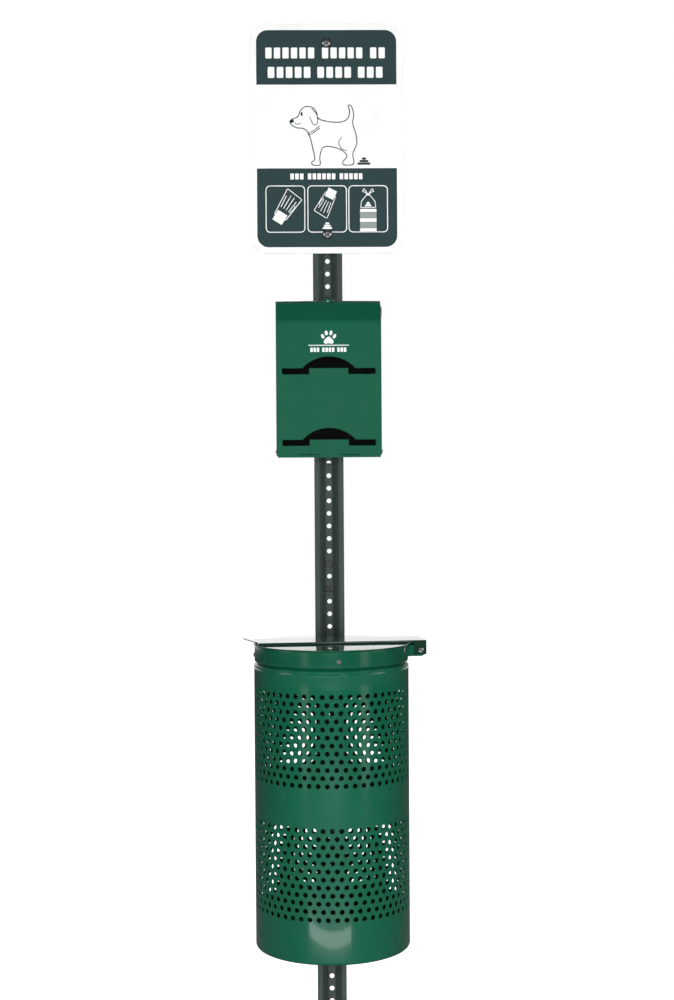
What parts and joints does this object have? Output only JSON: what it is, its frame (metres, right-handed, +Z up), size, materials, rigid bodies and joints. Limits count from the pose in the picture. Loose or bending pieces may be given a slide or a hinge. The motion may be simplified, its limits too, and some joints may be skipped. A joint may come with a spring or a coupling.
{
  "type": "dog waste station",
  "caption": "Channel-post dog waste station with a sign panel, a lockable bag dispenser and a round perforated bin with a hinged lid.",
  "frame": {"origin": "middle of the lower post's web at its bottom end", "axes": "+Z up the post, -Y the front that the sign faces, +X to the right of a person who faces the sign"},
  "size_m": [0.3514, 0.3449, 2.0955],
  "materials": {
    "post_paint": "dark green baked paint, semi-gloss",
    "sign_face": "screen-printed satin ink on aluminium",
    "dispenser_paint": "green powder coat, satin",
    "bin_paint": "green powder coat, gloss",
    "lid_paint": "green powder coat, high gloss",
    "zinc_steel": "bright zinc plate",
    "lock_chrome": "polished plate",
    "lock_brass": "satin",
    "bag_film": "thin black film"
  },
  "bodies": {
    "root": {"lower_post": "post_paint", "upper_post": "post_paint", "upper_splice_bolt": "zinc_steel", "upper_splice_nut": "zinc_steel", "lower_splice_bolt": "zinc_steel", "lower_splice_nut": "zinc_steel", "sign_panel": "sign_face", "sign_top_washer": "zinc_steel", "sign_top_bolt": "zinc_steel", "sign_top_nut": "zinc_steel", "sign_bottom_washer": "zinc_steel", "sign_bottom_bolt": "zinc_steel", "sign_bottom_nut": "zinc_steel", "dispenser_back": "dispenser_paint", "dispenser_top_bolt": "zinc_steel", "dispenser_top_nut": "zinc_steel", "dispenser_bottom_bolt": "zinc_steel", "dispenser_bottom_nut": "zinc_steel", "cover_hinge_rod": "zinc_steel", "lock_keeper": "zinc_steel", "lower_bag_pin_left": "zinc_steel", "lower_bag_pin_right": "zinc_steel", "upper_bag_pin_left": "zinc_steel", "upper_bag_pin_right": "zinc_steel", "lower_bag_pack": "bag_film", "upper_bag_pack": "bag_film", "bin_wall": "bin_paint", "bin_floor": "bin_paint", "rim_band": "bin_paint", "band_screw_1": "zinc_steel", "band_screw_2": "zinc_steel", "band_screw_3": "zinc_steel", "bin_upper_saddle": "bin_paint", "bin_upper_washer": "zinc_steel", "bin_upper_bolt": "zinc_steel", "bin_upper_nut": "zinc_steel", "bin_lower_saddle": "bin_paint", "bin_lower_washer": "zinc_steel", "bin_lower_bolt": "zinc_steel", "bin_lower_nut": "zinc_steel", "hinge_bracket": "bin_paint", "bracket_rivet_front": "zinc_steel", "bracket_rivet_rear": "zinc_steel", "lid_pivot_pin": "zinc_steel", "lid_pivot_cap": "zinc_steel"},
    "cover": {"dispenser_cover": "dispenser_paint", "lock_barrel": "lock_chrome", "lock_nut": "zinc_steel"},
    "lock": {"lock_plug": "lock_brass", "lock_cam": "zinc_steel"},
    "lid": {"lid_disc": "lid_paint", "lid_strap": "lid_paint"}
  },
  "joints": [
    {"name": "lid_hinge", "type": "hinge", "parent": "root", "child": "lid", "pos_m": [0.16497, -0.16523, 0.8615], "axis": [-0.1115, 0.9938, 0], "range_deg": [0, 95]},
    {"name": "cover_hinge", "type": "hinge", "parent": "root", "child": "cover", "pos_m": [0, -0.09229, 1.2416], "axis": [1, 0, 0], "range_deg": [0, 90]},
    {"name": "lock_turn", "type": "hinge", "parent": "cover", "child": "lock", "pos_m": [0.09, -0.05659, 1.518], "axis": [-1, 0, 0], "range_deg": [0, 90]}
  ]
}
